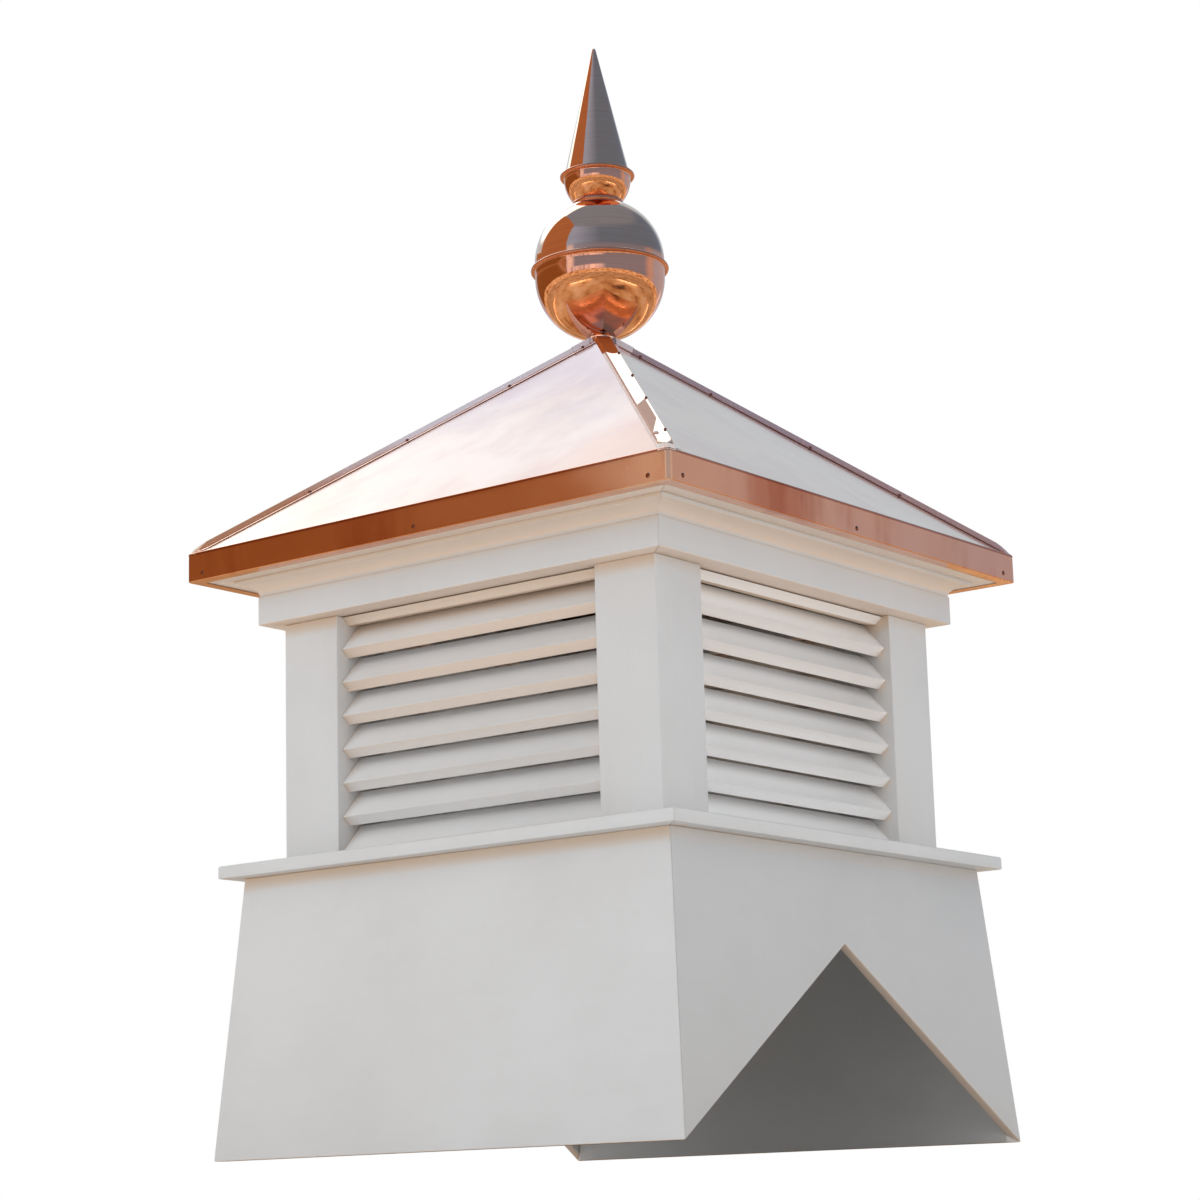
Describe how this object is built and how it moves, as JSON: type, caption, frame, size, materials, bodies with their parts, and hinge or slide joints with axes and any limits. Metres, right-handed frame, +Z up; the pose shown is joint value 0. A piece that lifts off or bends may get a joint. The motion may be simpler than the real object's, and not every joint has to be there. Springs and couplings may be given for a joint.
{
  "type": "barn cupola",
  "caption": "Square louvred roof cupola: flared base notched over a ridge, louvred body, crown moulding, copper hip roof and turned ball-and-spire finial.",
  "frame": {"origin": "middle of the base in plan, at the height of the base's lowest edge", "axes": "+Z up along the finial, -Y towards the front, whose base has a level foot; the barn ridge runs along X, under the notched gable sides"},
  "size_m": [0.762, 0.762, 1.4539],
  "materials": {
    "white_vinyl": "satin white cellular vinyl board",
    "sheathing": "raw plywood, seen only from inside",
    "sheet_copper": "new sheet copper, bright with handling marks",
    "finial_copper": "new spun copper, polished"
  },
  "bodies": {
    "root": {"base_panel_front": "white_vinyl", "base_panel_right": "white_vinyl", "base_panel_back": "white_vinyl", "base_panel_left": "white_vinyl", "sill_front": "white_vinyl", "sill_right": "white_vinyl", "sill_back": "white_vinyl", "sill_left": "white_vinyl", "corner_post_front_right": "white_vinyl", "corner_post_back_right": "white_vinyl", "corner_post_back_left": "white_vinyl", "corner_post_front_left": "white_vinyl", "louvre_front": "white_vinyl", "louvre_right": "white_vinyl", "louvre_back": "white_vinyl", "louvre_left": "white_vinyl", "frieze_front": "white_vinyl", "frieze_right": "white_vinyl", "frieze_back": "white_vinyl", "frieze_left": "white_vinyl", "crown_front": "white_vinyl", "crown_right": "white_vinyl", "crown_back": "white_vinyl", "crown_left": "white_vinyl", "soffit_front": "white_vinyl", "soffit_right": "white_vinyl", "soffit_back": "white_vinyl", "soffit_left": "white_vinyl", "deck_front": "sheathing", "deck_right": "sheathing", "deck_back": "sheathing", "deck_left": "sheathing", "roof_panel_front": "sheet_copper", "roof_panel_right": "sheet_copper", "roof_panel_back": "sheet_copper", "roof_panel_left": "sheet_copper", "hip_cap_front_right": "sheet_copper", "hip_cap_back_right": "sheet_copper", "hip_cap_back_left": "sheet_copper", "hip_cap_front_left": "sheet_copper", "finial_foot": "finial_copper", "finial_ball_lower": "finial_copper", "finial_ball_upper": "finial_copper", "finial_collar": "finial_copper", "finial_bowl": "finial_copper", "finial_spire": "finial_copper"}
  },
  "joints": []
}
